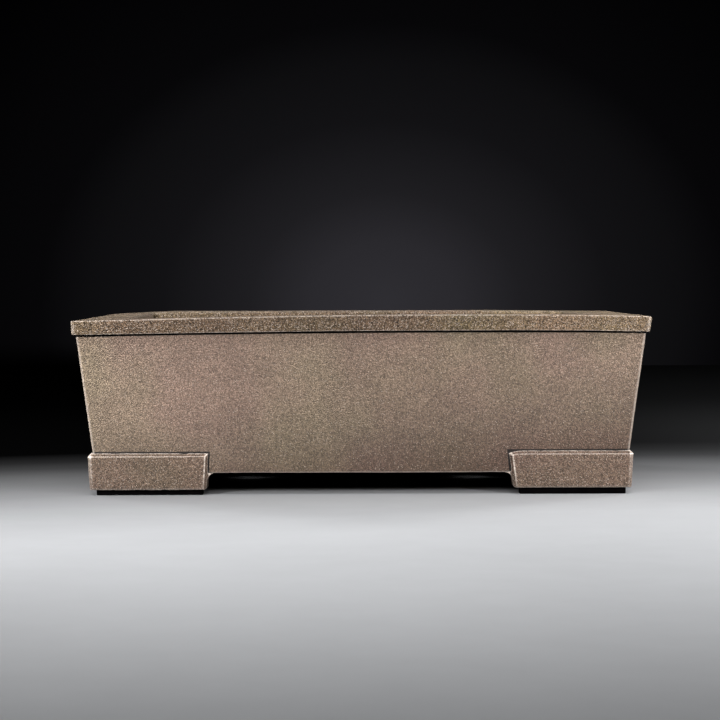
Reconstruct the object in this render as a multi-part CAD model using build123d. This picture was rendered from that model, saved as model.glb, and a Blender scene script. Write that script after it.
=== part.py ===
"""Rectangular slab-built bonsai pot in unglazed clay, standing on four corner feet.

The pot is built as a potter builds it from rolled slabs: four mitred wall slabs stand round a
floor slab that sits in a rebate, a frame of four mitred rim strips caps the walls, clay coils
are pressed into the inner seams, and each corner foot is a mitred pair of plates that laps
over the foot of the walls. A black rubber pad is stuck under every foot.

Frame: origin at the centre of the footprint on the surface the pot stands on, +X along the
long sides, -Y to the front, +Z up. All sizes are in millimetres.
"""

from build123d import *
import math
import os

# Overall size, taken at the top outer edge of the rim
rim_length = 360.0
rim_width = 252.0
total_height = 112.4
taper = math.tan(math.radians(6.8))  # every outer face leans out by this much per mm of height

# Rim frame
rim_height = 10.0
rim_breadth = 30.0  # from the outer edge to the edge of the opening
rim_overhang = 2.6  # how far the rim's lower edge stands out past the wall below it
rim_top_round = 1.0
rim_under_round = 0.6
rim_inner_round = 1.8

# Walls and floor
wall_thickness = 10.0
reveal_height = 1.0  # fine dark line round the pot, between the walls and the rim
reveal_depth = 3.0
arris_round = 2.4  # upright corner edges
floor_thickness = 10.0
floor_rebate = 4.0  # how far the floor slab is let into each wall

# Holes in the floor
drain_hole_diameter = 26.0
drain_hole_spacing = 150.0
tie_hole_diameter = 5.0
tie_hole_spacing_x = 230.0
tie_hole_spacing_y = 120.0

# Corner feet
foot_proud = 2.35  # how far the feet stand out past the walls
foot_overlap = 12.7  # how far the plates lap up over the foot of the walls
foot_drop = 10.4  # how far the feet reach below the walls
foot_depth = 15.0  # thickness of the plates below the walls
long_foot_length = 76.0  # along the front and back, measured at the top of the foot
short_foot_length = 58.0  # along the left and right sides
foot_bevel = 2.0
foot_edge_round = 1.0
foot_end_round = 2.0  # lower corner of the inner end of a foot
gusset_radius = 5.0  # hollow curve from the end of a foot up to the foot of the wall

# Pads
pad_thickness = 3.3
pad_edge_inset = 1.6
pad_end_inset = 2.4
pad_strip = 10.0  # breadth of each arm of the pad
pad_corner_round = 1.5

# Coils pressed into the inner seams
coil_radius = 7.0

# Heights of the main levels above the standing surface
foot_base_z = pad_thickness
body_base_z = foot_base_z + foot_drop
foot_top_z = body_base_z + foot_overlap
floor_top_z = body_base_z + floor_thickness
wall_top_z = total_height - rim_height

# The outer face of the walls is the reference: every other face is an offset from it
half_spans = {
    "x": rim_length / 2 - taper * rim_height - rim_overhang,
    "y": rim_width / 2 - taper * rim_height - rim_overhang,
}
reach = 260.0  # larger than any half size; sets the size of the cutting tools

# Each side of the pot: the quarter turn that carries the front to it, and the axis it runs along
sides = {
    "front": (0, "x"),
    "right": (90, "y"),
    "back": (180, "x"),
    "left": (270, "y"),
}
corners = {
    "front_left": (-1, -1),
    "front_right": (1, -1),
    "back_right": (1, 1),
    "back_left": (-1, 1),
}


def half_size(axis, z, offset=0.0):
    """Half the pot's length or width over a face that stands `offset` out from the walls."""
    return half_spans[axis] - taper * (wall_top_z - z) + offset


def slanted_block(axis, offset, low_z, high_z):
    """Long block whose two slanted sides follow the pot's faces across one axis."""
    low = half_size(axis, low_z, offset)
    high = half_size(axis, high_z, offset)
    outline = make_face(Polyline((-low, low_z), (low, low_z), (high, high_z), (-high, high_z), close=True))
    plane = Plane.XZ if axis == "x" else Plane.YZ
    return extrude(plane * outline, reach, both=True)


def envelope(offset, low_z, high_z, corner_round=0.0):
    """Block inside the tapered faces that stand `offset` out from the walls."""
    block = slanted_block("x", offset, low_z, high_z) & slanted_block("y", offset, low_z, high_z)
    if corner_round:
        block = fillet(upright_edges(block), corner_round)
    return block


def upright_edges(solid):
    """The edges that run from the bottom to the top of a block."""
    return [edge for edge in solid.edges() if abs(edge.tangent_at(0.5).Z) > 0.5]


def level_edges(solid, z):
    """The edges of a solid that lie wholly at height z."""
    return [
        edge for edge in solid.edges() if all(abs(vertex.Z - z) < 0.001 for vertex in edge.vertices())
    ]


def mitre_wedge(side):
    """Upright block that holds one side of the pot, up to its two 45-degree mitre planes."""
    turn, run = sides[side]
    across = "y" if run == "x" else "x"
    surplus = half_spans[run] - half_spans[across]
    inner = half_spans[across] - 2 * rim_breadth
    outline = Polyline(
        (-inner - surplus, -inner),
        (inner + surplus, -inner),
        (reach + surplus, -reach),
        (-reach - surplus, -reach),
        close=True,
    )
    return Rot(0, 0, turn) * extrude(make_face(outline), reach)


def make_floor():
    """Floor slab with two drain holes and four small holes for tie-down wires."""
    slab = envelope(floor_rebate - wall_thickness, body_base_z, floor_top_z)
    slab -= GridLocations(drain_hole_spacing, 0, 2, 1) * Cylinder(drain_hole_diameter / 2, reach)
    slab -= GridLocations(tie_hole_spacing_x, tie_hole_spacing_y, 2, 2) * Cylinder(
        tie_hole_diameter / 2, reach
    )
    return slab


def make_wall_ring():
    """The four walls in one, with the rebate for the floor slab and the reveal under the rim."""
    reveal_z = wall_top_z - reveal_height
    ring = envelope(0, body_base_z, reveal_z, arris_round)
    ring += envelope(-reveal_depth, reveal_z, wall_top_z, arris_round)
    ring -= envelope(-wall_thickness, body_base_z, wall_top_z)
    return ring - envelope(floor_rebate - wall_thickness, body_base_z, floor_top_z)


def make_rim_frame():
    """Flat frame that caps the walls, with a narrow lip outside and a broad one inside."""
    frame = envelope(rim_overhang, wall_top_z, total_height, arris_round)
    frame = fillet(level_edges(frame, total_height), rim_top_round)
    frame = fillet(level_edges(frame, wall_top_z), rim_under_round)
    opening_length = rim_length - 2 * rim_breadth
    opening_width = rim_width - 2 * rim_breadth
    frame -= extrude(RectangleRounded(opening_length, opening_width, arris_round), reach)
    opening_edges = [
        edge
        for z in (wall_top_z, total_height)
        for edge in level_edges(frame, z)
        if abs(edge.center().X) <= opening_length / 2 and abs(edge.center().Y) <= opening_width / 2
    ]
    return fillet(opening_edges, rim_inner_round)


def make_foot_band():
    """Tapered band all the feet are cut from, clear of the walls and the floor."""
    band = envelope(foot_proud, foot_base_z, foot_top_z, arris_round)
    band = fillet(level_edges(band, foot_base_z), foot_edge_round)
    band = chamfer(level_edges(band, foot_top_z), foot_bevel)
    band -= envelope(0, body_base_z, foot_top_z, arris_round)
    return band - envelope(foot_proud - foot_depth, foot_base_z, body_base_z)


def make_gusset_band():
    """Band in line with the walls and below them that the curved gussets are cut from."""
    band = envelope(0, foot_base_z, body_base_z, arris_round)
    return band - envelope(foot_proud - foot_depth, foot_base_z, body_base_z)


def foot_end(run, length, z):
    """Where the inner end of a foot lies at height z; it leans towards the foot's own corner."""
    return half_size(run, foot_top_z, foot_proud) - length + taper * (foot_top_z - z)


def foot_outline(run, length):
    """The right-hand foot seen square on, run out past the corner of the pot."""
    outline = make_face(
        Polyline(
            (foot_end(run, length, foot_top_z), foot_top_z),
            (foot_end(run, length, foot_base_z), foot_base_z),
            (reach, foot_base_z),
            (reach, foot_top_z),
            close=True,
        )
    )
    inner_base_corner = outline.vertices().sort_by(Axis.Y)[:2].sort_by(Axis.X)[:1]
    return fillet(inner_base_corner, foot_end_round)


def gusset_outline(run, length):
    """The hollow-curved piece between the end of a foot and the foot of the wall."""
    low_z = body_base_z - gusset_radius
    top_x = foot_end(run, length, body_base_z)
    low_x = foot_end(run, length, low_z)
    curve = TangentArc((top_x - gusset_radius, body_base_z), (low_x, low_z), tangent=(1, 0))
    back = Polyline(
        (low_x, low_z),
        (low_x + gusset_radius, low_z),
        (low_x + gusset_radius, body_base_z),
        (top_x - gusset_radius, body_base_z),
    )
    return make_face(curve + back)


def end_bevel_tool(run, length):
    """Block that planes a bevel along the upright outer edge of a foot's inner end."""
    across = "y" if run == "x" else "x"
    corner = Vector(
        foot_end(run, length, foot_base_z), -half_size(across, foot_base_z, foot_proud), foot_base_z
    )
    along_edge = Vector(-taper, -taper, 1)
    over_bevel = Vector(1, -1, 0)
    bevel_plane = Plane(
        origin=corner + Vector(foot_bevel, 0, 0), x_dir=over_bevel, z_dir=over_bevel.cross(along_edge)
    )
    return extrude(bevel_plane * Rectangle(reach, reach), reach)


def make_front_foot(run, length, foot_band, gusset_band):
    """The right-hand foot on a side that faces the front, run out past the corner."""
    foot = foot_band & extrude(Plane.XZ * foot_outline(run, length), reach)
    foot -= end_bevel_tool(run, length)
    gusset = gusset_band & extrude(Plane.XZ * gusset_outline(run, length), reach)
    return foot + gusset


def make_foot_plates():
    """The eight foot plates: one along each side of each corner, mitred at the corner."""
    bands = [make_foot_band(), make_gusset_band()]
    right_hand_feet = {
        "x": make_front_foot("x", long_foot_length, *bands),
        "y": make_front_foot("y", short_foot_length, *[Rot(0, 0, 90) * band for band in bands]),
    }
    plates = {}
    for name, (sign_x, sign_y) in corners.items():
        side_x = ("front", sign_x > 0) if sign_y < 0 else ("back", sign_x < 0)
        side_y = ("left", sign_y < 0) if sign_x < 0 else ("right", sign_y > 0)
        for kind, (side, is_right_hand) in (("long", side_x), ("short", side_y)):
            turn, run = sides[side]
            foot = right_hand_feet[run]
            if not is_right_hand:
                foot = mirror(foot, about=Plane.YZ)
            plates[f"{name}_foot_{kind}_plate"] = (Rot(0, 0, turn) * foot) & mitre_wedge(side)
    return plates


def make_pad(sign_x, sign_y):
    """L-shaped rubber pad under one foot."""
    outer_x = half_size("x", foot_base_z, foot_proud - pad_edge_inset)
    outer_y = half_size("y", foot_base_z, foot_proud - pad_edge_inset)
    inner_x = foot_end("x", long_foot_length, foot_base_z) + pad_end_inset
    inner_y = foot_end("y", short_foot_length, foot_base_z) + pad_end_inset
    outline = make_face(
        Polyline(
            (inner_x, outer_y),
            (outer_x, outer_y),
            (outer_x, inner_y),
            (outer_x - pad_strip, inner_y),
            (outer_x - pad_strip, outer_y - pad_strip),
            (inner_x, outer_y - pad_strip),
            close=True,
        )
    )
    pad = extrude(fillet(outline.vertices(), pad_corner_round), pad_thickness)
    if sign_x < 0:
        pad = mirror(pad, about=Plane.YZ)
    if sign_y < 0:
        pad = mirror(pad, about=Plane.XZ)
    return pad


def make_coils():
    """Clay pressed into the seam round the floor and into the four upright inner corners."""
    sharp = envelope(-wall_thickness, floor_top_z, wall_top_z)
    eased = fillet(level_edges(sharp, floor_top_z), coil_radius)
    rounded = fillet(level_edges(sharp, floor_top_z) + upright_edges(sharp), coil_radius)
    floor_ring = sharp - eased
    corner_coils = eased - rounded
    coils = {f"{side}_floor_coil": floor_ring & mitre_wedge(side) for side in sides}
    for name, (sign_x, sign_y) in corners.items():
        quarter = Pos(sign_x * reach / 2, sign_y * reach / 2, reach / 2) * Box(reach, reach, reach)
        coils[f"{name}_corner_coil"] = corner_coils & quarter
    return coils


def build():
    """Every sub-part of the pot, by name."""
    parts = {"floor_slab": make_floor()}
    wall_ring = make_wall_ring()
    rim_frame = make_rim_frame()
    for side in sides:
        parts[f"{side}_wall"] = wall_ring & mitre_wedge(side)
        parts[f"{side}_rim_strip"] = rim_frame & mitre_wedge(side)
    parts.update(make_foot_plates())
    parts.update(make_coils())
    for name, (sign_x, sign_y) in corners.items():
        parts[f"{name}_pad"] = make_pad(sign_x, sign_y)
    return parts


def main():
    os.makedirs("parts", exist_ok=True)
    for name, shape in build().items():
        export_step(shape, f"parts/{name}.step")


main()
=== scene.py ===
"""Looks for the slab-built bonsai pot: hand-finished clay, rubber pads, soft studio light.

Every clay piece is rebuilt as a finer mesh on the sizes of its CAD node, with softened edges and
the slight warp of fired clay. Lengths are in millimetres in the mesh code, and metres in Blender.
"""

import math

import bmesh
import bpy
import numpy as np
from mathutils import Matrix, Vector
from mathutils.geometry import delaunay_2d_cdt


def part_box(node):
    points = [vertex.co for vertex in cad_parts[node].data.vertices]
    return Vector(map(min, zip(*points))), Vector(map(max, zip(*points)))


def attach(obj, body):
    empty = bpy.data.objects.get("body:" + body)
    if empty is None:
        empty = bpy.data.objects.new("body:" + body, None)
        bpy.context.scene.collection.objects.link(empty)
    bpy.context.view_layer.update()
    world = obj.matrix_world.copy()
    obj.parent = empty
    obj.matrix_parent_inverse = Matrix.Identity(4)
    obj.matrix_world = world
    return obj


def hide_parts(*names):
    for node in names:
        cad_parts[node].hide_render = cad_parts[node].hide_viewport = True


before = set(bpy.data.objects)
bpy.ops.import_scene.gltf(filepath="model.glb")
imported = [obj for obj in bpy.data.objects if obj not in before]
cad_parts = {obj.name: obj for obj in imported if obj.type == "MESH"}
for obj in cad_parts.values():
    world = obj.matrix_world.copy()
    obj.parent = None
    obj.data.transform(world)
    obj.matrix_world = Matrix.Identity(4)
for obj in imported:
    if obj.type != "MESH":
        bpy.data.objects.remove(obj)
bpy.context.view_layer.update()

MM = 0.001
SEED = 7

# ---------------------------------------------------------------- sizes


def box_mm(node):
    """The lowest and highest corner of a CAD node, in millimetres."""
    low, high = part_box(node)
    return np.array(low) / MM, np.array(high) / MM


# Levels and spans are read from the frame. The other sizes of the pot, which no box gives, are
# those of the CAD part, and the rest are the visual model's own: its roundings, steps and quirks.
TAPER = math.tan(math.radians(6.8))
BODY_BASE = box_mm("front_wall")[0][2]
WALL_TOP = box_mm("front_wall")[1][2]
TOTAL_HEIGHT = box_mm("front_rim_strip")[1][2]
FLOOR_TOP = box_mm("floor_slab")[1][2]
FOOT_BASE = box_mm("front_left_foot_long_plate")[0][2]
FOOT_TOP = box_mm("front_left_foot_long_plate")[1][2]
WALL_THICKNESS = 10.0
FLOOR_REBATE = 4.0
RIM_BREADTH = 30.0
REVEAL_HEIGHT = 1.0
REVEAL_DEPTH = 3.0
RIM_HALF = {"x": 180.0, "y": 126.0}
OPENING_HALF = {axis: half - RIM_BREADTH for axis, half in RIM_HALF.items()}
HALF_SPAN = {
    "x": box_mm("right_wall")[1][0] + TAPER * REVEAL_HEIGHT,
    "y": box_mm("back_wall")[1][1] + TAPER * REVEAL_HEIGHT,
}
RIM_OVERHANG = RIM_HALF["x"] - TAPER * (TOTAL_HEIGHT - WALL_TOP) - HALF_SPAN["x"]
ARRIS_ROUND = 2.4
RIM_CORNER_ROUND = 3.6
WORN_END_ROUND = 1.9
STRIP_STEP = 4.0
ARC_STEPS = 7
FINE_RADIUS = 0.9
FINE_ARC_STEPS = 4
BROAD_ARC_STEPS = 6
EDGE_GAP = 1.2
FILLED_LENGTH = 3.0
PIECE_SHARP_ANGLE = math.radians(40)
FOOT_SHARP_ANGLE = math.radians(50)
# Painted highlight, with some edge wear, round the corner arrises of the outer faces.
CORNER_WEAR_AND_GLINT = 0.36
FOOT_PROUD = 2.35
FOOT_LENGTH = {"x": 76.0, "y": 58.0}
ODD_FOOT_LENGTH = 1.7
ODD_FOOT_RISE = 0.9
ODD_PAD_RISE = 0.8
PAD_RISE = 0.2
FOOT_UPRIGHT = 0.07
FOOT_END_UPRIGHT = 1.6
DRAIN_RADIUS = 13.0
DRAIN_SPACING = 150.0
DRAIN_LIP = 1.8
TIE_RADIUS = 2.5
TIE_LIP = 0.9
TIE_SPACING = (230.0, 120.0)
COIL_RADIUS = 7.0
COIL_BED = 0.6
PAD_STRIP = 10.0
FOOT_VOXEL = 0.45
WELD_DISTANCE = 0.02
SLAB_EDGE_STEP = 6.0
SLAB_STEP = 5.0

# Each side's turn about z from the front (degrees), and the axes along and across it.
SIDES = {
    "front": (0, "x", "y"),
    "right": (90, "y", "x"),
    "back": (180, "x", "y"),
    "left": (270, "y", "x"),
}
CORNERS = {
    "front_left": (-1, -1),
    "front_right": (1, -1),
    "back_right": (1, 1),
    "back_left": (-1, 1),
}


def half_size(axis, z):
    """Half the length or width over the outer faces of the walls at height z."""
    return HALF_SPAN[axis] - TAPER * (WALL_TOP - z)


# ---------------------------------------------------------------- smooth noise for hand finish

# Height and width (mm) of the waves that hands and tools leave, from broad to fine.
HAND_WAVES = ((0.22, 55), (0.07, 17), (0.025, 4.5))
NOISE_TABLE_SIZE = 32
_noise_tables = {}


def smooth_noise(points, cell, seed):
    """Smooth value noise in -1..1 at each point, with features about one cell wide (mm)."""
    if seed not in _noise_tables:
        shape = (NOISE_TABLE_SIZE,) * 3
        _noise_tables[seed] = np.random.default_rng(seed).uniform(-1, 1, shape)
    table = _noise_tables[seed]
    place = points / cell + 100.37
    low = np.floor(place).astype(int)
    part = place - low
    part = part * part * (3 - 2 * part)
    total = np.zeros(len(points))
    for corner in np.ndindex(2, 2, 2):
        share = np.ones(len(points))
        for axis in range(3):
            share *= part[:, axis] if corner[axis] else 1 - part[:, axis]
        index = (low + corner) % NOISE_TABLE_SIZE
        total += share * table[index[:, 0], index[:, 1], index[:, 2]]
    return total


def hand_finish(points, strength=1.0):
    """How far (mm) a worked clay surface stands proud of true at each point."""
    waves = [
        height * smooth_noise(points, width, SEED + number)
        for number, (height, width) in enumerate(HAND_WAVES)
    ]
    return strength * sum(waves)


def fired_warp(points):
    """Moves points (mm) as drying and firing pull the pot: the rim sinks towards its ends.

    How far each rim line sinks along its length is fitted to the rim's outline in the photo.
    """
    x, y, z = points.T
    height = np.clip((z - BODY_BASE) / (TOTAL_HEIGHT - BODY_BASE), 0, 1)
    along = x / RIM_HALF["x"]
    frontness = 0.5 - 0.5 * y / RIM_HALF["y"]
    front_sink = 1.5 * along**2 - 0.935 * along + 0.16 + 2.4 * np.clip(along - 0.77, 0, 1)
    back_sink = 0.75 + 2.0 * np.clip(along - 0.5, 0, 1) + 8.0 * np.clip(-along - 0.75, 0, 1)
    sink = frontness * front_sink + (1 - frontness) * back_sink
    return np.column_stack([x, y, z - height**1.5 * np.maximum(sink, 0.0)])


# ---------------------------------------------------------------- mesh helpers


def make_object(name, points, faces, marks=None):
    """A mesh object from points in millimetres, smooth but for its sharp edges."""
    mesh = bpy.data.meshes.new(name)
    mesh.from_pydata((np.asarray(points) * MM).tolist(), [], [list(map(int, f)) for f in faces])
    mesh.update()
    for label, values in (marks or {}).items():
        attribute = mesh.attributes.new(label, "FLOAT", "POINT")
        attribute.data.foreach_set("value", np.asarray(values, np.float32))
    mesh.shade_smooth()
    mesh.set_sharp_from_angle(angle=PIECE_SHARP_ANGLE)
    piece = bpy.data.objects.new(name, mesh)
    bpy.context.scene.collection.objects.link(piece)
    return piece


def tube_faces(rings, size):
    """Faces of a tube through rings of size points each, closed at both ends."""
    faces = []
    for r in range(rings - 1):
        a, b = r * size, (r + 1) * size
        for p in range(size):
            q = (p + 1) % size
            faces.append((a + p, a + q, b + q, b + p))
    faces.append(tuple(range(size - 1, -1, -1)))
    faces.append(tuple((rings - 1) * size + p for p in range(size)))
    return faces


def clean_normals(piece):
    """Turns every face of a closed piece outwards."""
    work = bmesh.new()
    work.from_mesh(piece.data)
    bmesh.ops.recalc_face_normals(work, faces=work.faces)
    work.to_mesh(piece.data)
    work.free()


def stands_for(piece, node, material):
    """Puts a finished piece in the place of its CAD node."""
    piece.data.materials.append(material)
    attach(piece, "root")
    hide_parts(node)


def spaced(start, end, step):
    """Evenly spaced values from start to end, about one step apart, without the last."""
    count = max(1, round(abs(end - start) / step))
    return [start + (end - start) * i / count for i in range(count)]


def rounded_loop(corners, step=3.0):
    """A closed profile from (u, z, round, wear) corners, with rounded corners and filled sides.

    Each point it gives holds u, z and how much the edge is worn and painted with a highlight.
    """
    points = []
    count = len(corners)
    corner_arcs = []
    for i, (u, z, radius, wear_and_glint) in enumerate(corners):
        here = np.array([u, z])
        before = np.array(corners[i - 1][:2]) - here
        after = np.array(corners[(i + 1) % count][:2]) - here
        before_dir = before / np.linalg.norm(before)
        after_dir = after / np.linalg.norm(after)
        if radius <= 0:
            corner_arcs.append([(here[0], here[1], wear_and_glint)])
            continue
        half_angle = math.acos(np.clip(before_dir @ after_dir, -1, 1)) / 2
        reach = radius / math.tan(half_angle)
        centre = here + (before_dir + after_dir) / np.linalg.norm(before_dir + after_dir) * (
            radius / math.sin(half_angle)
        )
        start = here + before_dir * reach - centre
        end = here + after_dir * reach - centre
        turn = math.atan2(start[0] * end[1] - start[1] * end[0], start @ end)
        steps = BROAD_ARC_STEPS if radius > FINE_RADIUS else FINE_ARC_STEPS
        arc = []
        for k in range(steps + 1):
            angle = turn * k / steps
            swing = np.array(
                [
                    start[0] * math.cos(angle) - start[1] * math.sin(angle),
                    start[0] * math.sin(angle) + start[1] * math.cos(angle),
                ]
            )
            arc.append((*(centre + swing), wear_and_glint * math.sin(math.pi * k / steps)))
        corner_arcs.append(arc)
    for i, arc in enumerate(corner_arcs):
        points += arc
        start, end = np.array(arc[-1]), np.array(corner_arcs[(i + 1) % count][0])
        length = np.linalg.norm(end[:2] - start[:2])
        if length > FILLED_LENGTH:
            gap = min(EDGE_GAP, length / 3)
            for distance in [gap, *spaced(gap, length - gap, step)[1:], length - gap]:
                u, z = (start + (end - start) * distance / length)[:2]
                points.append((u, z, 0.0))
    return np.array(points)


def loop_normals(profile):
    """Outward unit normals of a closed counter-clockwise profile."""
    ahead = np.roll(profile[:, :2], -1, axis=0) - profile[:, :2]
    behind = profile[:, :2] - np.roll(profile[:, :2], 1, axis=0)
    ahead /= np.maximum(np.linalg.norm(ahead, axis=1, keepdims=True), 1e-9)
    behind /= np.maximum(np.linalg.norm(behind, axis=1, keepdims=True), 1e-9)
    tangent = ahead + behind
    tangent /= np.maximum(np.linalg.norm(tangent, axis=1, keepdims=True), 1e-9)
    return np.column_stack([tangent[:, 1], -tangent[:, 0]])


def odd_foot(points):
    """1 at points on the front right foot, which is a little longer and taller than the others."""
    return np.where((points[:, 0] > 0) & (points[:, 1] < 0), 1.0, 0.0)


def seam_distances(points, side):
    """How far (mm) points lie past the inner end of the nearer foot, and above its top."""
    run = SIDES[side][1]
    odd = odd_foot(points)
    along = np.abs(points[:, 0 if run == "x" else 1])
    lean = TAPER * (FOOT_TOP - points[:, 2])
    past = along - (half_size(run, FOOT_TOP) + FOOT_PROUD - FOOT_LENGTH[run] + lean)
    if run == "x":
        up = np.clip((points[:, 2] - FOOT_BASE) / (FOOT_TOP - FOOT_BASE), 0, 1)
        past += odd * ODD_FOOT_LENGTH - (1 - odd) * FOOT_END_UPRIGHT * up
    return past, points[:, 2] - FOOT_TOP - odd * ODD_FOOT_RISE


def hand_trimmed(points):
    """Leaves the rim as trimmed by hand.

    The opening is drawn in at its ends, the left end is lower, and the right end has its upper
    and lower arris worn round.
    """
    x, y, z = points.T
    near_end = np.clip((np.abs(x) - 115) / 35, 0, 1)
    near_end = near_end * np.clip((RIM_HALF["x"] - np.abs(x)) / RIM_BREADTH, 0, 1)
    up = np.clip((z - WALL_TOP) / (TOTAL_HEIGHT - WALL_TOP), 0, 1)
    frontness = np.clip(0.5 - y / RIM_HALF["y"], 0, 1)
    lower = frontness * (0.8 * np.clip(-x / 130, 0, 1) + 0.25 * np.clip(x / 130, 0, 1))
    inward = near_end * np.where(x > 0, -4.6, 1.2) + 0.9 * up * np.clip((-x - 150) / 20, 0, 1)
    worn_end = np.clip((x - RIM_HALF["x"] + WORN_END_ROUND + 0.2) / WORN_END_ROUND, 0, 1)
    drop = WORN_END_ROUND * (1 - np.sqrt(1 - worn_end**2))
    return np.column_stack([x + inward, y, z - up * lower + drop * (0.7 - 1.7 * up)])


def mitred_strip(name, side, profile, corner_round, finish=1.0, shape=None):
    """A strip with the given (u, z, wear) section, run along one side between its mitres.

    u is the distance out from the wall's outer face. At both ends the strip turns through the
    first half of the rounded corner, and stops at the 45-degree mitre plane. shape moves the
    finished points before the pot is fired.
    """
    turn, run, across = SIDES[side]
    normals = loop_normals(profile)
    u, z, wear_and_glint = profile.T
    half_run = half_size(run, z) + u - corner_round
    half_across = half_size(across, z) + u - corner_round
    straight = np.linspace(-1, 1, 2 * round(HALF_SPAN[run] / STRIP_STEP) + 1)
    angles = np.linspace(0, math.pi / 4, ARC_STEPS + 1)[1:]
    stations = [(-1, angle) for angle in angles[::-1]]
    stations += [(place, None) for place in straight]
    stations += [(1, angle) for angle in angles]
    rows, row_normals = [], []
    for where, angle in stations:
        if angle is None:
            x, y = half_run * where, -(half_across + corner_round)
            out_x, out_y = 0.0, -1.0
        else:
            x = where * (half_run + corner_round * math.sin(angle))
            y = -(half_across + corner_round * math.cos(angle))
            out_x, out_y = where * math.sin(angle), -math.cos(angle)
        rows.append(np.column_stack([x, y, z]))
        row_normals.append(
            np.column_stack([normals[:, 0] * out_x, normals[:, 0] * out_y, normals[:, 1]])
        )
    points = np.concatenate(rows)
    outward = np.concatenate(row_normals)
    spin = np.array(Matrix.Rotation(math.radians(turn), 3, "Z"))
    points = points @ spin.T
    outward = outward @ spin.T
    points = points + outward * hand_finish(points, finish)[:, None]
    if shape:
        points = shape(points)
    points = fired_warp(points)
    # Marks for worn edges that also take a painted highlight: along the profile's eased corners and
    # round the outer corner arrises.
    outer_face = np.where(normals[:, 0] > 0.7, CORNER_WEAR_AND_GLINT, 0.0)
    corner_wear_and_glint = [
        outer_face * (0.0 if angle is None else math.sin(2 * angle) ** 4) for _, angle in stations
    ]
    marks = {"wear_and_glint": np.maximum(np.tile(wear_and_glint, len(stations)), np.concatenate(corner_wear_and_glint))}
    marks["past_foot_end"], marks["above_foot"] = seam_distances(points, side)
    piece = make_object(name, points, tube_faces(len(stations), len(profile)), marks)
    clean_normals(piece)
    return piece


# ---------------------------------------------------------------- walls, rim and coils


def wall_profile():
    """Section of a wall: eased foot, fine reveal under the rim, and the rebate for the floor."""
    inner = -WALL_THICKNESS
    rebate = inner + FLOOR_REBATE
    reveal_base = WALL_TOP - REVEAL_HEIGHT - 0.2
    return rounded_loop(
        [
            (rebate, BODY_BASE, 0.0, 0.0),
            (0.0, BODY_BASE, 0.9, 0.35),
            (0.0, reveal_base, 0.3, 0.0),
            (-REVEAL_DEPTH, reveal_base, 0.0, 0.0),
            (-REVEAL_DEPTH, WALL_TOP, 0.0, 0.0),
            (inner, WALL_TOP, 0.0, 0.0),
            (inner, FLOOR_TOP, 0.0, 0.0),
            (rebate, FLOOR_TOP, 0.0, 0.0),
        ]
    )


def rim_profile(side):
    """Section of a rim strip: the eased outer lip, flat top and the broad lip over the soil."""
    across = SIDES[side][2]
    top_inner = OPENING_HALF[across] - half_size(across, TOTAL_HEIGHT)
    base_inner = OPENING_HALF[across] - half_size(across, WALL_TOP)
    outer = RIM_OVERHANG - 0.2
    top = TOTAL_HEIGHT - 0.1
    return rounded_loop(
        [
            (base_inner, WALL_TOP, 1.8, 0.0),
            (outer, WALL_TOP, 0.6, 0.5),
            (outer, top, 0.9, 0.44),
            (top_inner, top, 1.6, 0.1),
        ]
    )


def coil_hollow():
    """The quarter circle pressed into a coil: how far each point lies from the two surfaces."""
    return [
        (COIL_RADIUS * (1 - math.cos(angle)), COIL_RADIUS * (1 - math.sin(angle)))
        for angle in (math.radians(9 * k) for k in range(11))
    ]


def floor_coil_profile():
    """Hollow section of the clay pressed into the seam round the floor, bedded into both sides."""
    inner = -WALL_THICKNESS
    points = [(inner + COIL_BED, FLOOR_TOP - COIL_BED), (inner + COIL_BED, FLOOR_TOP + COIL_RADIUS)]
    points += [(inner - across, FLOOR_TOP + up) for across, up in coil_hollow()]
    points.append((inner - COIL_RADIUS, FLOOR_TOP - COIL_BED))
    return np.array([(u, z, 0.0) for u, z in points])


def corner_coil(name, sign_x, sign_y):
    """Clay pressed into an upright inner corner, from the floor to the underside of the rim."""
    heights = np.linspace(FLOOR_TOP + 0.5, WALL_TOP - 0.05, 30)
    section = [(COIL_BED, COIL_BED), (COIL_BED, -COIL_RADIUS)]
    section += [(-across, -along) for across, along in coil_hollow()]
    section = np.array([*section, (-COIL_RADIUS, COIL_BED)])
    rows = []
    for z in heights:
        corner = np.array([half_size("x", z), half_size("y", z)]) - WALL_THICKNESS
        rows.append(np.column_stack([corner + section, np.full(len(section), z)]))
    points = np.concatenate(rows) * (sign_x, sign_y, 1)
    press = 0.5 * smooth_noise(points, 9, SEED + 3)
    inward = np.tile(np.where(section.max(1) > 0.01, 0.0, 1.0), len(heights))
    points[:, :2] -= np.outer(press * inward, (sign_x, sign_y)) / math.sqrt(2)
    points = fired_warp(points)
    faces = tube_faces(len(heights), len(section))
    piece = make_object(name, points, faces, {"wear_and_glint": np.zeros(len(points))})
    clean_normals(piece)
    return piece


# ---------------------------------------------------------------- floor slab


def circle(centre, radius, count):
    """Points round a circle."""
    return [
        (
            centre[0] + radius * math.cos(2 * math.pi * k / count),
            centre[1] + radius * math.sin(2 * math.pi * k / count),
        )
        for k in range(count)
    ]


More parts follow.
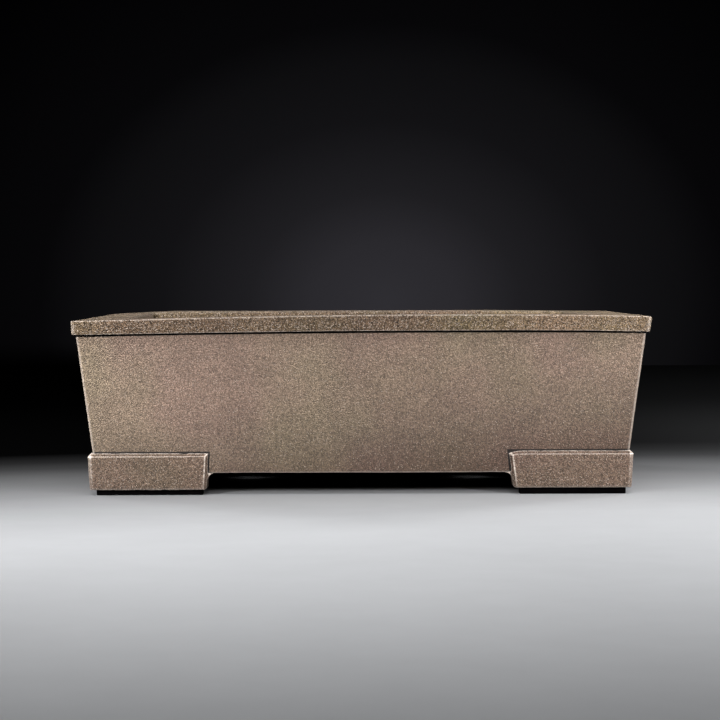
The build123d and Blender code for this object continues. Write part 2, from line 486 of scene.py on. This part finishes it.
def floor_slab(name):
    """The floor slab, with softly rounded drain holes and wire holes."""
    half_x = half_size("x", BODY_BASE) - WALL_THICKNESS + FLOOR_REBATE
    half_y = half_size("y", BODY_BASE) - WALL_THICKNESS + FLOOR_REBATE
    holes = [((sx * DRAIN_SPACING / 2, 0.0), DRAIN_RADIUS, DRAIN_LIP, 56) for sx in (-1, 1)]
    holes += [
        ((sx * TIE_SPACING[0] / 2, sy * TIE_SPACING[1] / 2), TIE_RADIUS, TIE_LIP, 24)
        for sx in (-1, 1)
        for sy in (-1, 1)
    ]
    turns = [(-half_x, -half_y), (half_x, -half_y), (half_x, half_y), (-half_x, half_y)]
    outline = []
    for (x0, y0), (x1, y1) in zip(turns, turns[1:] + turns[:1]):
        steps = round(math.dist((x0, y0), (x1, y1)) / SLAB_EDGE_STEP)
        outline += [
            (x0 + (x1 - x0) * k / steps, y0 + (y1 - y0) * k / steps) for k in range(steps)
        ]
    loops = [outline]
    loops += [circle(centre, radius + lip, count) for centre, radius, lip, count in holes]
    lips = [(centre, radius + lip) for centre, radius, lip, _ in holes]
    flat, edges = [], []
    for loop in loops:
        first = len(flat)
        flat += loop
        edges += [(first + k, first + (k + 1) % len(loop)) for k in range(len(loop))]
    for x in np.arange(-half_x + SLAB_STEP, half_x - 4, SLAB_STEP):
        for y in np.arange(-half_y + SLAB_STEP, half_y - 4, SLAB_STEP):
            if all(math.dist((x, y), centre) > reach + 2 for centre, reach in lips):
                flat.append((x, y))
    spots, _, triangles = delaunay_2d_cdt([Vector(p) for p in flat], edges, [], 1, 1e-6)[:3]
    spots = np.array([tuple(p) for p in spots])
    kept = []
    for triangle in triangles:
        middle = spots[list(triangle)].mean(0)
        if all(math.dist(middle, centre) > reach * 0.999 for centre, reach in lips):
            kept.append(tuple(triangle))
    count = len(spots)
    top = np.column_stack([spots, np.full(count, FLOOR_TOP)])
    base = np.column_stack([spots, np.full(count, BODY_BASE)])
    top[:, 2] += hand_finish(top, 0.8) - 0.15
    base[:, 2] += 0.15 + hand_finish(base, 0.8)
    points = [*top, *base]
    faces = kept + [tuple(v + count for v in reversed(t)) for t in kept]
    for number, loop in enumerate(loops):
        upper = [int(np.argmin(((spots - p) ** 2).sum(1))) for p in loop]
        rings = [upper]
        if number:
            centre, radius, lip, _ = holes[number - 1]
            turned = [math.radians(angle) for angle in (25, 50, 75, 90)]
            sweep = [(lip * (1 - math.sin(a)), lip * (1 - math.cos(a))) for a in turned]
            levels = [(out, FLOOR_TOP - depth) for out, depth in sweep]
            levels += [(out, BODY_BASE + depth) for out, depth in sweep[::-1]]
            for out, level in levels:
                ring = []
                for x, y in circle(centre, radius + out, len(loop)):
                    ring.append(len(points))
                    points.append(np.array([x, y, level]))
                rings.append(ring)
        rings.append([v + count for v in upper])
        for above, below in zip(rings, rings[1:]):
            for k in range(len(loop)):
                nxt = (k + 1) % len(loop)
                faces.append((above[k], above[nxt], below[nxt], below[k]))
    points = np.array(points)
    piece = make_object(name, points, faces, {"wear_and_glint": np.zeros(len(points))})
    clean_normals(piece)
    return piece


# ---------------------------------------------------------------- feet and pads


def neighbour_mean(points, edges):
    """The mean of each point's neighbours along the mesh edges."""
    total = np.zeros_like(points)
    count = np.zeros(len(points))
    for a, b in ((0, 1), (1, 0)):
        np.add.at(total, edges[:, a], points[edges[:, b]])
        np.add.at(count, edges[:, a], 1)
    return total / count[:, None]


def soften(points, edges, rounds, shrink=0.5, swell=-0.52):
    """Smooths a dense mesh without shrinking it."""
    for _ in range(rounds):
        for share in (shrink, swell):
            points = points + share * (neighbour_mean(points, edges) - points)
    return points


def joined_foot(corner):
    """Both plates of a foot as one dense mesh: its points (mm), its edges and the mesh."""
    work = bmesh.new()
    for kind in ("long", "short"):
        work.from_mesh(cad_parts[f"{corner}_foot_{kind}_plate"].data)
    bmesh.ops.remove_doubles(work, verts=work.verts, dist=WELD_DISTANCE * MM)
    sign_x, sign_y = CORNERS[corner]
    surplus = (HALF_SPAN["x"] - HALF_SPAN["y"]) * MM

    def off_mitre(spot):
        return abs(sign_x * spot.x - sign_y * spot.y - surplus)

    near = WELD_DISTANCE * MM
    seam = [f for f in work.faces if all(off_mitre(v.co) < near for v in f.verts)]
    bmesh.ops.delete(work, geom=seam, context="FACES_ONLY")
    mesh = bpy.data.meshes.new("foot_work")
    work.to_mesh(mesh)
    work.free()
    blank = bpy.data.objects.new("foot_work", mesh)
    bpy.context.scene.collection.objects.link(blank)
    remesh = blank.modifiers.new("remesh", "REMESH")
    remesh.mode = "VOXEL"
    remesh.voxel_size = FOOT_VOXEL * MM
    bpy.context.view_layer.update()
    remeshed = blank.evaluated_get(bpy.context.evaluated_depsgraph_get())
    dense = bpy.data.meshes.new_from_object(remeshed)
    bpy.data.objects.remove(blank)
    points = np.zeros(len(dense.vertices) * 3)
    dense.vertices.foreach_get("co", points)
    points = points.reshape(-1, 3) / MM
    edges = np.zeros(len(dense.edges) * 2, int)
    dense.edges.foreach_get("vertices", edges)
    return points, edges.reshape(-1, 2), dense


def hand_set_foot(points, corner):
    """Moves a foot's points (mm) as the potter left them.

    The ends are more upright than the walls, and the front right foot is longer and taller, and
    slumps at its inner end. With the points come how far up the foot each lies, and 1 for those
    of the front right foot.
    """
    points = points.copy()
    odd = odd_foot(points)
    height = (points[:, 2] - FOOT_BASE) / (FOOT_TOP - FOOT_BASE)
    inner = half_size("x", points[:, 2]) - FOOT_LENGTH["x"]
    points[:, 0] -= odd * ODD_FOOT_LENGTH * np.clip(1 - (points[:, 0] - inner) / 60, 0, 1)
    slump = 1.8 * np.clip(1 - (points[:, 0] - inner) / 9, 0, 1) ** 2
    ends = np.abs(points[:, :2]) - [half_size("x", FOOT_TOP), half_size("y", FOOT_TOP)]
    near_end = np.clip((ends + 14) / 10, 0, 1)
    outwards = FOOT_UPRIGHT * (FOOT_TOP - points[:, 2])[:, None] * near_end
    past_inner = half_size("x", FOOT_TOP) - FOOT_LENGTH["x"] - np.abs(points[:, 0])
    near_inner = np.clip(1 + past_inner / 30, 0, 1)
    outwards[:, 0] += (1 - odd) * FOOT_END_UPRIGHT * height * near_inner
    if corner == "front_left":
        outwards[:, 0] += 0.6 * near_end[:, 0]
    points[:, :2] += outwards * np.sign(points[:, :2])
    points[:, 2] += odd * (height * (ODD_FOOT_RISE - slump) + (1 - height) * ODD_PAD_RISE)
    return points, height, odd


def worn_and_glinting_edges(points, edges, normals, height):
    """How much (0..1) each point of a foot is worn and painted with a highlight: where it stands
    out, and along the top.
    """
    blurred = points
    for _ in range(4):
        blurred = blurred + 0.5 * (neighbour_mean(blurred, edges) - blurred)
    bulge = ((points - blurred) * normals).sum(1)
    wear_and_glint = np.clip(bulge / 0.05 - 0.3, 0, 1) * np.clip(0.25 + 1.5 * height, 0, 1)
    walls = np.column_stack([half_size(axis, points[:, 2]) for axis in "xy"])
    proud = (np.abs(points[:, :2]) - walls).max(1)
    top_edge = np.clip((height - 1) * 45 + 1.6, 0, 1) * np.clip((proud - 0.9) / 0.6, 0, 1)
    return np.maximum(wear_and_glint, top_edge)


def foot_pieces(corner, material):
    """The two plates of one foot: softened, hand finished, and parted at their mitre."""
    points, edges, dense = joined_foot(corner)
    points, height, odd = hand_set_foot(soften(points, edges, 2), corner)
    dense.vertices.foreach_set("co", (points * MM).ravel())
    dense.update()
    normals = np.zeros(len(points) * 3)
    dense.vertices.foreach_get("normal", normals)
    normals = normals.reshape(-1, 3)
    wear_and_glint = worn_and_glinting_edges(points, edges, normals, height)
    finish = hand_finish(points) + 0.05 * smooth_noise(points, 2.2, SEED + 4)
    chipping = wear_and_glint * np.clip(smooth_noise(points, 6.0, SEED + 5) - 0.1, 0, 1) * 0.5
    points = points + normals * (finish - chipping)[:, None]
    points = fired_warp(points)
    points[:, 2] = np.maximum(points[:, 2], FOOT_BASE - 0.05 + 0.3 * (1 - odd))
    dense.vertices.foreach_set("co", (points * MM).ravel())
    attribute = dense.attributes.new("wear_and_glint", "FLOAT", "POINT")
    attribute.data.foreach_set("value", wear_and_glint.astype(np.float32))
    sign_x, sign_y = CORNERS[corner]
    seam_point = Vector((sign_x * HALF_SPAN["x"], sign_y * HALF_SPAN["y"], 0)) * MM
    seam_normal = Vector((sign_x, -sign_y, 0)).normalized()
    for kind, keep in (("short", 1), ("long", -1)):
        work = bmesh.new()
        work.from_mesh(dense)
        cut = bmesh.ops.bisect_plane(
            work,
            geom=[*work.verts, *work.edges, *work.faces],
            plane_co=seam_point,
            plane_no=seam_normal * keep,
            clear_inner=True,
        )
        cut_edges = [e for e in cut["geom_cut"] if isinstance(e, bmesh.types.BMEdge)]
        bmesh.ops.holes_fill(work, edges=cut_edges, sides=0)
        bmesh.ops.recalc_face_normals(work, faces=work.faces)
        mesh = bpy.data.meshes.new(f"{corner}_foot_{kind}")
        work.to_mesh(mesh)
        work.free()
        mesh.shade_smooth()
        mesh.set_sharp_from_angle(angle=FOOT_SHARP_ANGLE)
        piece = bpy.data.objects.new(mesh.name, mesh)
        bpy.context.scene.collection.objects.link(piece)
        stands_for(piece, f"{corner}_foot_{kind}_plate", material)


def pad_piece(corner, material):
    """An L of rubber, pressed out a little at its sides by the weight of the pot."""
    sign_x, sign_y = CORNERS[corner]
    low, high = box_mm(f"{corner}_pad")
    outer = [high[0] if sign_x > 0 else low[0], high[1] if sign_y > 0 else low[1]]
    inner = [low[0] if sign_x > 0 else high[0], low[1] if sign_y > 0 else high[1]]
    strip = (outer[0] - sign_x * PAD_STRIP, outer[1] - sign_y * PAD_STRIP)
    corners = [
        (inner[0], outer[1]),
        (outer[0], outer[1]),
        (outer[0], inner[1]),
        (strip[0], inner[1]),
        (strip[0], strip[1]),
        (inner[0], strip[1]),
    ]
    outline = rounded_loop([(x, y, 1.5, 0.0) for x, y in corners], step=4.0)[:, :2]
    outward = loop_normals(outline)
    x, y = outline.T
    area = np.sum(x * np.roll(y, -1) - np.roll(x, -1) * y)
    outward *= math.copysign(1, area)
    height = high[2] - low[2] + (ODD_PAD_RISE if corner == "front_right" else PAD_RISE)
    rings = [
        (-0.45, 0.0),
        (-0.12, 0.12),
        (0.0, 0.45),
        (0.0, height - 0.4),
        (-0.15, height - 0.1),
        (-0.5, height),
    ]
    points = []
    count = len(outline)
    for offset, z in rings:
        level = np.column_stack([outline, np.full(count, z)])
        ripple = 0.08 * smooth_noise(level, 8, SEED + 6) - 0.08
        ring = outline + outward * (offset + ripple)[:, None]
        points.append(np.column_stack([ring, np.full(count, z)]))
    piece = make_object(f"{corner}_rubber", np.concatenate(points), tube_faces(len(rings), count))
    clean_normals(piece)
    stands_for(piece, f"{corner}_pad", material)


# ---------------------------------------------------------------- materials


OLIVE_CLAY = (0.525, 0.388, 0.262)
RED_CLAY = (0.525, 0.348, 0.264)
SAND = (0.86, 0.71, 0.60)
# Pale colour of worn edges: partly real wear, partly a painted highlight on the arrises.
RUBBED_CLAY_AND_GLINT = (0.96, 0.83, 0.73)
FOOT_TINT = (0.68, 0.655, 0.66)
# Painted light and shade along the feet: the left foot darker, the right foot lighter.
FOOT_SHADE_ALONG_X = [(-180, 0.95), (180, 1.08)]
WALL_TINT = (0.925, 0.945, 0.945)
# Painted shade up a wall, from darkest at the base to its full tone higher up.
WALL_SHADE_TONES = [(0.1, (0.49, 0.43, 0.42)), (0.46, 0.75), (0.8, 1.0)]
RIM_TINT = (1.0, 0.99, 0.84)
# The rim's own darker tone, with painted light making its ends lighter than its middle, the right
# end most.
RIM_TONE_AND_SHADE = [(-180, 0.74), (-100, 0.62), (20, 0.62), (120, 1.0)]
DARK_FLECK = (0.040, 0.026, 0.020)
PINHOLE = (0.015, 0.011, 0.009)
# Colour of the painted shade in the crease round each foot.
SEAM_SHADE_COLOUR = (0.012, 0.009, 0.008)
RUBBER_BLACK = (0.0010, 0.0008, 0.0010)
RUBBER_GREY = (0.0030, 0.0025, 0.0026)
RUBBER_DUST = (0.015, 0.013, 0.012)
# Painted light on the studio floor: its tones from a painted pool of light out into the dark behind
# the pot.
POOL_TONES = [
    (0.0, 0.51),
    (0.13, 0.575),
    (0.19, 0.56),
    (0.26, 0.45),
    (0.31, 0.355),
    (0.37, 0.24),
    (0.44, 0.14),
    (0.50, 0.085),
    (0.55, 0.034),
    (0.60, 0.013),
    (0.67, 0.001),
]
FLOOR_TINT = (0.955, 0.97, 1.0)
DEEP_SHADE = (0.003, 0.003, 0.003)
# Glow on the backdrop, from its middle outwards.
GLOW_TONES = [
    (0.0, (0.028, 0.027, 0.032)),
    (0.11, (0.023, 0.022, 0.026)),
    (0.20, (0.0132, 0.0127, 0.0148)),
    (0.33, (0.0062, 0.0060, 0.0070)),
    (0.435, (0.0043, 0.0042, 0.0048)),
    (0.51, (0.0020, 0.0019, 0.0023)),
    (0.8, (0.0003, 0.0003, 0.0004)),
]


class Shader:
    """A small helper for wiring the nodes of one material or world."""

    def __init__(self, owner, coordinates="Object"):
        owner.use_nodes = True
        self.owner = owner
        self.tree = owner.node_tree
        self.bsdf = self.tree.nodes.get("Principled BSDF")
        self.place = self.node("ShaderNodeTexCoord").outputs[coordinates]

    def node(self, kind, **settings):
        made = self.tree.nodes.new(kind)
        for key, value in settings.items():
            setattr(made, key, value)
        return made

    def feed(self, socket, value):
        if isinstance(value, bpy.types.NodeSocket):
            self.tree.links.new(value, socket)
        else:
            socket.default_value = value

    def noise(self, cell, detail=2.0, roughness=0.5):
        """Soft noise with features about one cell (mm) wide."""
        made = self.node("ShaderNodeTexNoise")
        self.feed(made.inputs["Vector"], self.place)
        self.feed(made.inputs["Scale"], 1 / (cell * MM))
        self.feed(made.inputs["Detail"], detail)
        self.feed(made.inputs["Roughness"], roughness)
        return made.outputs["Fac"]

    def voronoi(self, cell):
        """Random cells (mm): the distance from each cell's seed, and the cell's own colour."""
        made = self.node("ShaderNodeTexVoronoi")
        self.feed(made.inputs["Vector"], self.place)
        self.feed(made.inputs["Scale"], 1 / (cell * MM))
        split = self.node("ShaderNodeSeparateColor")
        self.feed(split.inputs["Color"], made.outputs["Color"])
        return made.outputs["Distance"], split.outputs

    def cells(self, cell):
        """A grey of its own for each cell (mm), as in packed mineral grains."""
        return self.voronoi(cell)[1]["Blue"]

    def grains(self, cell, radius, chance):
        """Round grains: 1 at the middle of a grain, 0 between them. Only some cells hold one."""
        distance, colour = self.voronoi(cell)
        dot = self.ramp(distance, [(0.0, 1.0), (radius / cell, 0.0)])
        chosen = self.maths("LESS_THAN", colour["Red"], chance)
        strength = self.maths("MULTIPLY", chosen, self.maths("ADD", colour["Green"], 0.25))
        return self.maths("MULTIPLY", dot, strength)

    def open_to_air(self, distance):
        """How open the surface is within a distance (mm): 0 in a deep crevice, 1 on a flat."""
        made = self.node("ShaderNodeAmbientOcclusion", samples=8)
        self.feed(made.inputs["Distance"], distance * MM)
        return made.outputs["AO"]

    def maths(self, operation, a, b=0.0):
        made = self.node("ShaderNodeMath", operation=operation)
        self.feed(made.inputs[0], a)
        self.feed(made.inputs[1], b)
        return made.outputs[0]

    def length(self, a, b):
        """The length of the vector (a, b)."""
        squares = self.maths("ADD", self.maths("POWER", a, 2.0), self.maths("POWER", b, 2.0))
        return self.maths("SQRT", squares)

    def split(self, vector):
        """The X, Y and Z of a vector."""
        made = self.node("ShaderNodeSeparateXYZ")
        self.feed(made.inputs["Vector"], vector)
        return made.outputs

    def ramp(self, value, stops):
        """A ramp through (position, grey) or (position, (r, g, b)) stops."""
        made = self.node("ShaderNodeValToRGB")
        self.feed(made.inputs["Fac"], value)
        elements = made.color_ramp.elements
        while len(elements) < len(stops):
            elements.new(0.5)
        for element, (position, tone) in zip(elements, stops):
            element.position = position
            element.color = (*tone, 1.0) if isinstance(tone, tuple) else (tone, tone, tone, 1.0)
        return made.outputs["Color"]

    def mix(self, share, a, b, blend="MIX"):
        made = self.node("ShaderNodeMix", data_type="RGBA", blend_type=blend)
        self.feed(made.inputs["Factor"], share)
        for socket, value in ((made.inputs["A"], a), (made.inputs["B"], b)):
            self.feed(socket, (*value, 1.0) if isinstance(value, tuple) else value)
        return made.outputs["Result"]

    def attribute(self, name):
        return self.node("ShaderNodeAttribute", attribute_name=name).outputs["Fac"]

    def between(self, value, low, high, kind="SMOOTHSTEP"):
        """Rises from 0 at low to 1 at high."""
        made = self.node("ShaderNodeMapRange", interpolation_type=kind)
        self.feed(made.inputs["Value"], value)
        self.feed(made.inputs["From Min"], low)
        self.feed(made.inputs["From Max"], high)
        return made.outputs["Result"]

    def bump(self, height, distance, strength=1.0, below=None):
        made = self.node("ShaderNodeBump")
        self.feed(made.inputs["Height"], height)
        self.feed(made.inputs["Distance"], distance * MM)
        self.feed(made.inputs["Strength"], strength)
        if below is not None:
            self.feed(made.inputs["Normal"], below)
        return made.outputs["Normal"]


def seam_shade(s):
    """Painted shade in the seam that runs round each foot on the wall: 1 in the crease just above
    and beside each foot.
    """
    ragged = s.maths("MULTIPLY", s.noise(2.5, 3, 0.6), 0.5)
    below_top = s.between(s.maths("ADD", s.attribute("above_foot"), ragged), 1.35, 0.95)
    beside_end = s.between(s.maths("SUBTRACT", s.attribute("past_foot_end"), ragged), -1.35, -0.95)
    return s.maths("MULTIPLY", below_top, beside_end)


def clay_material(
    name, coarse=0.0, inside=False, painted_wall_shade=False, tint=(1.0, 1.0, 1.0), tone_and_shade_along_x=None
):
    """Unglazed grey-brown stoneware: mottled, gritty, with pale sand grains and dark pinholes.

    coarse is how much rougher and darker the surface is left than a smoothed wall, from 0 to 1.
    inside leaves the deeper finger marks of an inner face. seamed is for walls: painted shade makes
    them darker towards the base and the right, and in the crease round each foot. tint shifts the
    colour.
    tone_and_shade_along_x holds (x in mm, tone) stops of painted light and shade from end to end,
    and on the rim also of the clay's own darker tone.
    """
    s = Shader(bpy.data.materials.new(name))
    place = s.split(s.place)
    drift = s.ramp(s.noise(70, 2, 0.5), [(0.35, OLIVE_CLAY), (0.65, RED_CLAY)])
    stain = s.ramp(s.noise(26, 3, 0.6), [(0.3, 0.80), (0.7, 1.0)])
    body = s.mix(1.0, s.mix(1.0, drift, stain, "MULTIPLY"), tint, "MULTIPLY")
    # Painted shade: the wall darker towards its base and towards the right, as the light falls.
    if painted_wall_shade:
        tilted = s.maths("SUBTRACT", place["Z"], s.maths("MULTIPLY", place["X"], 0.11))
        height = s.between(tilted, 0.0, 80 * MM, "LINEAR")
        body = s.mix(1.0, body, s.ramp(height, WALL_SHADE_TONES), "MULTIPLY")
    # Painted light and shade from end to end, with the rim's own tone where given.
    if tone_and_shade_along_x:
        along = s.between(place["X"], -RIM_HALF["x"] * MM, RIM_HALF["x"] * MM, "LINEAR")
        stops = [(0.5 + 0.5 * x / RIM_HALF["x"], tone) for x, tone in tone_and_shade_along_x]
        body = s.mix(1.0, body, s.ramp(along, stops), "MULTIPLY")
    crystals = s.ramp(s.cells(0.5), [(0.0, 0.28 - 0.23 * coarse), (0.65, 0.62), (1.0, 1.0)])
    body = s.mix(1.0, body, crystals, "MULTIPLY")
    clusters = s.ramp(s.noise(0.8, 0, 0.5), [(0.3, 0.8 - 0.2 * coarse), (0.7, 1.0)])
    body = s.mix(1.0, body, clusters, "MULTIPLY")
    sand = s.grains(0.8, 0.34 + 0.09 * coarse, 0.22 + 0.36 * coarse)
    body = s.mix(s.maths("MULTIPLY", sand, 0.95), body, SAND)
    fleck = s.grains(0.9, 0.34 + 0.1 * coarse, 0.13 + 0.35 * coarse)
    body = s.mix(s.maths("MULTIPLY", fleck, 0.9), body, DARK_FLECK)
    pinhole = s.grains(17, 0.55, 0.5)
    body = s.mix(s.maths("MULTIPLY", pinhole, 0.95), body, PINHOLE)
    # Painted shade: the clay darker in crevices and where parts meet, by how open the surface is.
    crevice_shade = s.ramp(s.open_to_air(7), [(0.25, 0.03), (0.50, 0.34), (0.95, 1.0)])
    body = s.mix(1.0, body, crevice_shade, "MULTIPLY")
    # Painted shade in the crease round each foot.
    if painted_wall_shade:
        body = s.mix(s.maths("MULTIPLY", seam_shade(s), 0.95), body, SEAM_SHADE_COLOUR)
    # Worn edges painted pale: partly real wear, partly a painted highlight on the arrises.
    gaps = [(0.36 + 0.07 * coarse, 0.45 - 0.4 * coarse), (0.52, 1.0)]
    rubbed_and_glint = s.maths("MULTIPLY", s.attribute("wear_and_glint"), s.ramp(s.noise(1.1, 3, 0.7), gaps))
    body = s.mix(s.maths("MULTIPLY", rubbed_and_glint, 0.92), body, RUBBED_CLAY_AND_GLINT)
    s.feed(s.bsdf.inputs["Base Color"], body)
    rough = s.ramp(s.noise(1.6, 3, 0.7), [(0.3, 0.52), (0.7, 0.75)])
    rough = s.mix(s.maths("MULTIPLY", rubbed_and_glint, 0.7), rough, (0.36, 0.36, 0.36))
    s.feed(s.bsdf.inputs["Roughness"], rough)
    s.bsdf.inputs["Specular IOR Level"].default_value = 0.4 - 0.25 * coarse
    fine = s.noise(0.62, 1, 0.5)
    relief = s.maths("ADD", s.maths("MULTIPLY", fine, 0.9), s.maths("MULTIPLY", sand, 0.5))
    relief = s.maths("SUBTRACT", relief, s.maths("MULTIPLY", pinhole, 2.6))
    lower = s.bump(s.noise(5.5, 4, 0.6), 0.5 if inside else 0.22 + 0.2 * coarse)
    grip = s.maths("SUBTRACT", 1.0, s.maths("MULTIPLY", rubbed_and_glint, 0.85))
    s.feed(s.bsdf.inputs["Normal"], s.bump(relief, 1.6, grip, lower))
    return s.owner


def rubber_material(name):
    """Dull black rubber with fine dust and a moulded grain."""
    s = Shader(bpy.data.materials.new(name))
    black = s.ramp(s.noise(6, 4, 0.7), [(0.35, RUBBER_BLACK), (0.75, RUBBER_GREY)])
    specks = s.maths("MULTIPLY", s.grains(1.8, 0.35, 0.3), 0.2)
    s.feed(s.bsdf.inputs["Base Color"], s.mix(specks, black, RUBBER_DUST))
    s.feed(s.bsdf.inputs["Roughness"], s.ramp(s.noise(3, 3, 0.6), [(0.3, 0.62), (0.7, 0.85)]))
    s.bsdf.inputs["Specular IOR Level"].default_value = 0.01
    s.feed(s.bsdf.inputs["Normal"], s.bump(s.noise(0.7, 3, 0.6), 0.08))
    return s.owner


def floor_material(name):
    """Pale studio floor with a painted pool of light falling away into the dark behind the pot,
    painted lighter to the right, and painted shadow deep under the pot.
    """
    s = Shader(bpy.data.materials.new(name))
    place = s.split(s.place)
    behind = s.maths("MAXIMUM", s.maths("ADD", place["Y"], 0.42), 0.0)
    middle = s.maths("ADD", s.maths("MULTIPLY", behind, 0.35), 0.10)
    across = s.maths("DIVIDE", s.maths("SUBTRACT", place["X"], middle), 0.80)
    ahead = s.maths("DIVIDE", behind, 0.55)
    away = s.maths("DIVIDE", s.length(across, ahead), 2.0)
    # Painted light: the floor lighter towards the right.
    far_right = s.maths("MULTIPLY", s.between(place["X"], 0.05, 0.5), 0.025)
    pool = s.mix(1.0, s.ramp(away, POOL_TONES), far_right, "ADD")
    # Painted shadow on the floor deep under the pot.
    under_pot = s.between(s.open_to_air(60), 0.42, 0.26)
    deep_under = s.maths("MULTIPLY", under_pot, s.between(place["Y"], -0.085, -0.055))
    pool = s.mix(deep_under, pool, DEEP_SHADE)
    grain = s.ramp(s.noise(30, 4, 0.6), [(0.3, 0.48), (0.7, 0.52)])
    shade = s.mix(0.5, pool, grain, "OVERLAY")
    s.feed(s.bsdf.inputs["Base Color"], s.mix(1.0, shade, FLOOR_TINT, "MULTIPLY"))
    s.bsdf.inputs["Roughness"].default_value = 0.6
    s.bsdf.inputs["Specular IOR Level"].default_value = 0.0
    return s.owner


# ---------------------------------------------------------------- build the pot

wall_clay = clay_material("wall_clay", painted_wall_shade=True, tint=WALL_TINT)
foot_clay = clay_material("foot_clay", coarse=0.4, tint=FOOT_TINT, tone_and_shade_along_x=FOOT_SHADE_ALONG_X)
rim_clay = clay_material("rim_clay", coarse=1.0, tint=RIM_TINT, tone_and_shade_along_x=RIM_TONE_AND_SHADE)
inner_clay = clay_material("inner_clay", coarse=0.5, inside=True)
rubber = rubber_material("black_rubber")

for side in SIDES:
    wall = mitred_strip(f"{side}_wall_clay", side, wall_profile(), ARRIS_ROUND)
    stands_for(wall, f"{side}_wall", wall_clay)
    rim = mitred_strip(
        f"{side}_rim_clay", side, rim_profile(side), RIM_CORNER_ROUND, shape=hand_trimmed
    )
    stands_for(rim, f"{side}_rim_strip", rim_clay)
    coil = mitred_strip(f"{side}_floor_coil_clay", side, floor_coil_profile(), 0.3, finish=2.0)
    stands_for(coil, f"{side}_floor_coil", inner_clay)
stands_for(floor_slab("floor_clay"), "floor_slab", inner_clay)
for corner, signs in CORNERS.items():
    coil = corner_coil(f"{corner}_corner_coil_clay", *signs)
    stands_for(coil, f"{corner}_corner_coil", inner_clay)
    foot_pieces(corner, foot_clay)
    pad_piece(corner, rubber)

# ---------------------------------------------------------------- floor, lights and camera

floor_mesh = bpy.data.meshes.new("studio_floor")
floor_corners = [(-4, -4, 0), (4, -4, 0), (4, 1.9, 0), (-4, 1.9, 0)]
floor_mesh.from_pydata(floor_corners, [], [(0, 1, 2, 3)])
floor = bpy.data.objects.new("studio_floor", floor_mesh)
bpy.context.scene.collection.objects.link(floor)
floor.data.materials.append(floor_material("pale_floor"))


def softbox(name, place, aim, size, watts, spread):
    """A soft rectangular light at a place, aimed at a point."""
    data = bpy.data.lights.new(name, "AREA")
    data.shape = "RECTANGLE"
    data.size, data.size_y = size
    data.energy = watts
    data.spread = math.radians(spread)
    light = bpy.data.objects.new(name, data)
    light.location = place
    light.rotation_euler = (Vector(aim) - Vector(place)).to_track_quat("-Z", "Y").to_euler()
    light.visible_camera = False
    bpy.context.scene.collection.objects.link(light)


# Name, place, aim and size in metres, power in watts, and spread in degrees.
SOFTBOXES = (
    ("key_left", (-0.75, -0.95, 0.5), (-0.42, -0.12, 0.12), (0.4, 0.4), 2.2, 40),
    ("key_right", (0.8, -1.0, 0.5), (0.42, -0.12, 0.19), (0.4, 0.4), 1.8, 40),
    ("front_fill", (0.0, -1.3, 0.6), (0.0, -0.1, 0.25), (0.6, 0.4), 0.8, 45),
    ("floor_wash", (0.0, -0.50, 0.95), (0.0, -0.40, 0.0), (1.2, 0.25), 2.55, 80),
    ("rear_left", (-1.2, 0.95, 0.6), (0.0, 0.12, 0.06), (0.5, 0.5), 1.7, 50),
    ("rear_right", (1.2, 0.95, 0.6), (0.0, 0.12, 0.06), (0.5, 0.5), 1.7, 50),
    ("rear_fill", (0.5, 1.0, 1.3), (0.0, 0.0, 0.05), (1.0, 0.8), 0.8, 180),
)
for settings in SOFTBOXES:
    softbox(*settings)


def dark_backdrop():
    """World of a dark studio, with a soft glow low on the backdrop behind the pot."""
    s = Shader(bpy.data.worlds.new("studio"), "Generated")
    way = s.split(s.place)
    ahead = s.maths("MAXIMUM", way["Y"], 0.02)
    sideways = s.maths("DIVIDE", way["X"], ahead)
    upward = s.maths("DIVIDE", way["Z"], ahead)
    across = s.maths("DIVIDE", s.maths("SUBTRACT", sideways, 0.012), 0.105)
    above = s.maths("DIVIDE", s.maths("ADD", upward, 0.010), 0.085)
    glow = s.ramp(s.maths("DIVIDE", s.length(across, above), 3.0), GLOW_TONES)
    right = s.maths("MULTIPLY", s.maths("MAXIMUM", sideways, 0.0), 0.12)
    fade = s.between(s.maths("ADD", upward, right), -0.041, -0.026)
    fade = s.maths("MULTIPLY", fade, s.maths("GREATER_THAN", way["Y"], 0.1))
    glow = s.mix(fade, (0.0, 0.0, 0.0), glow)
    s.feed(s.tree.nodes["Background"].inputs["Color"], glow)
    return s.owner


bpy.context.scene.world = dark_backdrop()
bpy.context.scene.view_settings.view_transform = "Standard"

CAMERA_PLACE = (-0.0005, -1.444, 0.133)
CAMERA_LENS = 107.2
CAMERA_DOWN = 2.11
CAMERA_ROLL = -0.2

camera_data = bpy.data.cameras.new("camera")
camera_data.lens = CAMERA_LENS
camera_data.sensor_width = 36.0
camera_data.clip_end = 50
camera = bpy.data.objects.new("camera", camera_data)
camera.location = CAMERA_PLACE
pitch = Matrix.Rotation(math.radians(90 - CAMERA_DOWN), 3, "X")
roll = Matrix.Rotation(math.radians(CAMERA_ROLL), 3, "Z")
camera.rotation_euler = (pitch @ roll).to_euler()
bpy.context.scene.collection.objects.link(camera)
bpy.context.scene.camera = camera

bpy.context.view_layer.update()
